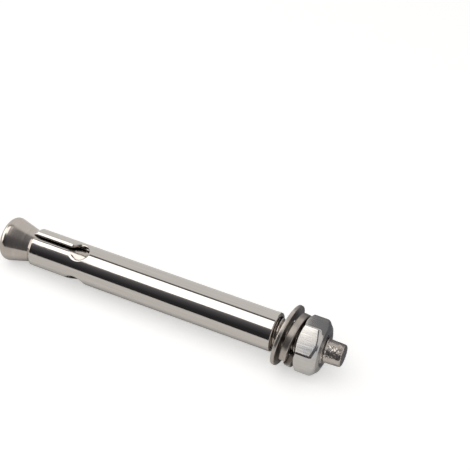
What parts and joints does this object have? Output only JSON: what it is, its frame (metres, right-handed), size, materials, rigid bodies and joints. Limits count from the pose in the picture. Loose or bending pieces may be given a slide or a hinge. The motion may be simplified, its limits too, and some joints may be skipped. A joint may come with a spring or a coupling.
{
  "type": "sleeve anchor",
  "caption": "Cone bolt in a slotted expansion sleeve, with flat washer, spring washer and hex nut; tightening the nut draws the cone into the sleeve in a drilled hole.",
  "frame": {"origin": "centre of the cone head's flat end, which the anchor stands on", "axes": "+Z along the bolt, from the cone head to the nut; one slot of the sleeve faces -Y, turned 4 degrees towards -X"},
  "size_m": [0.0159, 0.016, 0.0933],
  "materials": {
    "turned_steel": "turned and cold-formed stainless steel, slightly dull, with turning rings on the cone",
    "polished_steel": "polished stainless steel tube with fine lengthwise scratches",
    "pressed_steel": "pressed stainless steel, satin",
    "spring_steel": "coiled stainless spring steel, satin",
    "nut_steel": "bright stainless steel flats with faint brush marks"
  },
  "bodies": {
    "bolt": {"cone_bolt": "turned_steel"},
    "sleeve": {"expansion_sleeve": "polished_steel", "flat_washer": "pressed_steel", "spring_washer": "spring_steel"},
    "nut": {"hex_nut": "nut_steel"}
  },
  "joints": [
    {"name": "sleeve_slide", "type": "slide", "parent": "bolt", "child": "sleeve", "axis": [0, 0, 1], "range_m": [0, 0.005]},
    {"name": "nut_turn", "type": "hinge", "parent": "sleeve", "child": "nut", "pos_m": [0, 0, 0.0856], "axis": [0, 0, 1], "range_deg": [0, 1440]}
  ],
  "couplings": [
    {"joint": "sleeve_slide", "follows": "nut_turn", "m_per_rad": 0.00019894}
  ]
}
